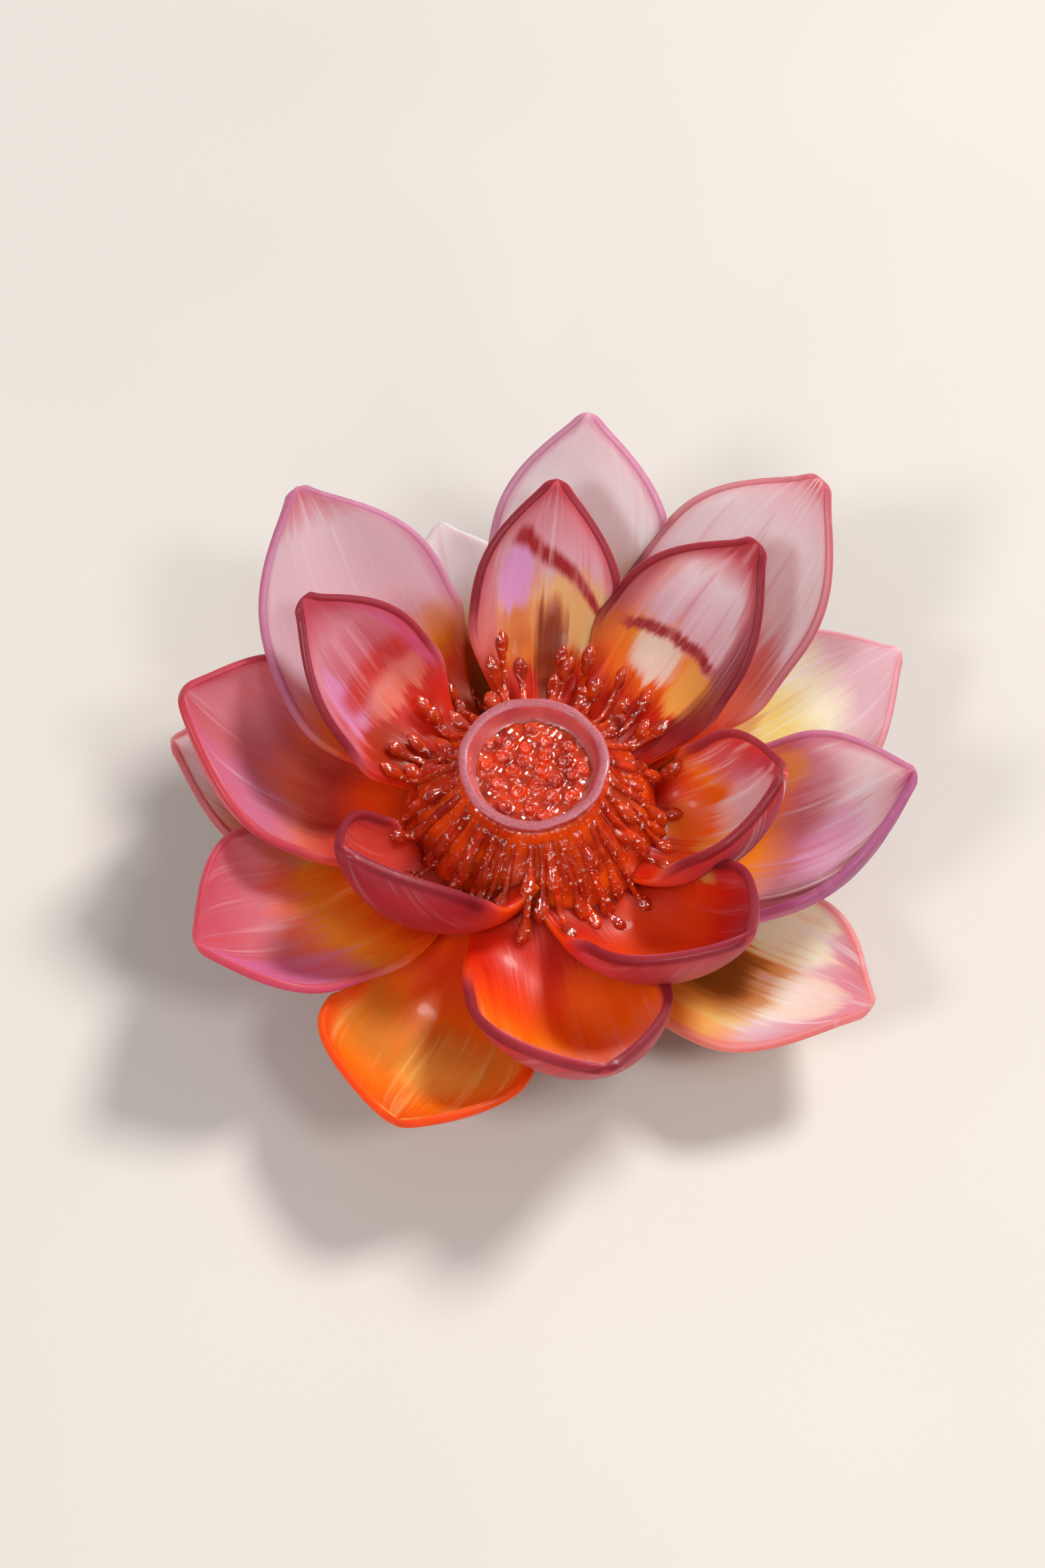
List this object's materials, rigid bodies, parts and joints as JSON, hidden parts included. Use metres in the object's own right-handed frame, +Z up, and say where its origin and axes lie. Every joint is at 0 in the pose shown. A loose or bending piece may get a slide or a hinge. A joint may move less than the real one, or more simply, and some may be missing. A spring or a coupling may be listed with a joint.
{
  "type": "cast glass lotus flower",
  "caption": "Open lotus flower of cast glass: cupped pointed petals in three layers round a ring of stamens and a shallow seed cup, standing on a flat foot.",
  "frame": {"origin": "middle of the flat underside of the foot, on the surface that the flower stands on", "axes": "+Z up along the axis of the seed cup, +Y towards the tallest petals, +X to the right as seen from -Y"},
  "size_m": [0.2485, 0.2376, 0.0983],
  "materials": {
    "heart_glass": "orange cast glass, satin",
    "inner_petal_glass": "rose cast glass, frosted",
    "middle_petal_glass": "pink cast glass, frosted",
    "lower_petal_glass": "cream to salmon cast glass, frosted",
    "stamen_glass": "red-orange glass, glossy",
    "cup_glass": "red glass, glossy inside, frosted rim"
  },
  "bodies": {
    "root": {"heart": "heart_glass", "inner_petal_1": "inner_petal_glass", "inner_petal_2": "inner_petal_glass", "inner_petal_3": "inner_petal_glass", "inner_petal_4": "inner_petal_glass", "inner_petal_5": "inner_petal_glass", "inner_petal_6": "inner_petal_glass", "inner_petal_7": "inner_petal_glass", "middle_petal_1": "middle_petal_glass", "middle_petal_2": "middle_petal_glass", "middle_petal_3": "middle_petal_glass", "middle_petal_4": "middle_petal_glass", "middle_petal_5": "middle_petal_glass", "middle_petal_6": "middle_petal_glass", "lower_petal_1": "lower_petal_glass", "lower_petal_2": "lower_petal_glass", "lower_petal_3": "lower_petal_glass", "lower_petal_4": "lower_petal_glass", "lower_petal_5": "lower_petal_glass", "lower_petal_6": "lower_petal_glass", "stamens": "stamen_glass", "seed_cup": "cup_glass"}
  },
  "joints": []
}
